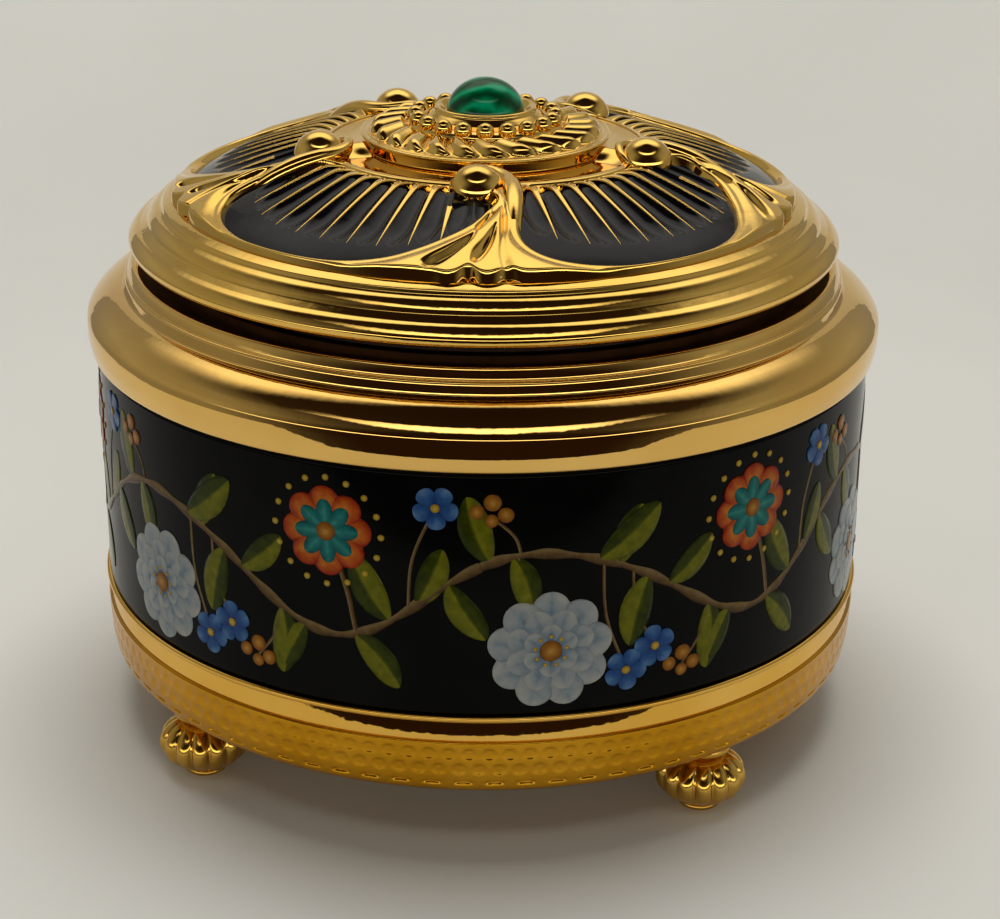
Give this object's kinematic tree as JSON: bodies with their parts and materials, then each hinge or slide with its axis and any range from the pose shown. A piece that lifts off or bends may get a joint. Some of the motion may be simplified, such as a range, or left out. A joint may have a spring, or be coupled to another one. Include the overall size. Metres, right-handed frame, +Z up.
{
  "type": "music box",
  "caption": "Round keepsake music box with a black glazed band, gilt rim and ball feet, lift-off domed lid with fan panels and a green stone, and a wind-up comb movement under its tray.",
  "frame": {"origin": "on the table under the middle of the box, at the level of the feet", "axes": "+Z up, -Y towards the front seen in the picture, +X to its right"},
  "size_m": [0.1146, 0.1146, 0.0934],
  "materials": {
    "gilt_porcelain": "bright burnished gold over glaze",
    "gilt_metal": "polished gold plate",
    "black_enamel": "gloss black with gold ridges",
    "black_glaze": "gloss black with painted flowers",
    "white_glaze": "gloss white",
    "green_stone": "polished, banded",
    "felt": "napped",
    "brass": "turned, lacquered",
    "steel": "bright",
    "cast_zinc": "as cast, dull grey"
  },
  "bodies": {
    "box": {"foot_1": "gilt_metal", "foot_2": "gilt_metal", "foot_3": "gilt_metal", "foot_4": "gilt_metal", "foot_nut_1": "steel", "foot_nut_2": "steel", "foot_nut_3": "steel", "foot_nut_4": "steel", "base_ring": "gilt_metal", "base_plate": "brass", "plate_screw_1": "steel", "plate_screw_2": "steel", "plate_screw_3": "steel", "plate_screw_4": "steel", "movement_screw_1": "steel", "movement_screw_2": "steel", "movement_screw_3": "steel", "body_band": "black_glaze", "rim_moulding": "gilt_porcelain", "keepsake_tray": "white_glaze", "tray_felt": "felt", "movement_bedplate": "cast_zinc", "clutch_spring": "steel", "governor_bracket": "brass", "inner_bearing": "cast_zinc", "outer_bearing": "cast_zinc", "comb": "steel", "comb_bridge": "cast_zinc", "comb_screw_1": "steel", "comb_screw_2": "steel"},
    "lid": {"lid_shell": "gilt_porcelain", "enamel_panel_1": "black_enamel", "enamel_panel_2": "black_enamel", "enamel_panel_3": "black_enamel", "enamel_panel_4": "black_enamel", "enamel_panel_5": "black_enamel", "lid_rosette": "gilt_metal", "rosette_nut": "steel", "bead_ring": "gilt_metal", "stone_bezel": "gilt_metal", "cabochon": "green_stone"},
    "winder": {"winding_arbor": "steel", "winding_key": "brass"},
    "barrel": {"spring_barrel": "brass", "barrel_crown_gear": "brass", "mainspring": "steel"},
    "cylinder": {"cylinder_arbor": "steel", "pinned_cylinder": "brass", "cylinder_gear": "brass"},
    "governor": {"governor_wheel": "brass"},
    "fly": {"worm_spindle": "steel", "air_brake_fly": "brass"}
  },
  "joints": [
    {"name": "lid_lift", "type": "slide", "parent": "box", "child": "lid", "axis": [0, 0, 1], "range_m": [0, 0.06]},
    {"name": "key_wind", "type": "hinge", "parent": "box", "child": "winder", "pos_m": [-0.016, 0, 0.005], "axis": [0, 0, 1], "range_deg": [0, 1080]},
    {"name": "barrel_spin", "type": "hinge", "parent": "box", "child": "barrel", "pos_m": [-0.016, 0, 0.0205], "axis": [0, 0, 1], "continuous": true},
    {"name": "cylinder_spin", "type": "hinge", "parent": "box", "child": "cylinder", "pos_m": [0.0097, 0, 0.03043], "axis": [1, 0, 0], "continuous": true},
    {"name": "governor_spin", "type": "hinge", "parent": "box", "child": "governor", "pos_m": [0.0234, 0.009, 0.03043], "axis": [1, 0, 0], "continuous": true},
    {"name": "fly_spin", "type": "hinge", "parent": "box", "child": "fly", "pos_m": [0.02415, 0.014, 0.035], "axis": [0, 0, 1], "continuous": true}
  ],
  "couplings": [
    {"joint": "cylinder_spin", "follows": "barrel_spin", "ratio": 3},
    {"joint": "governor_spin", "follows": "barrel_spin", "ratio": -12},
    {"joint": "fly_spin", "follows": "barrel_spin", "ratio": 216}
  ]
}
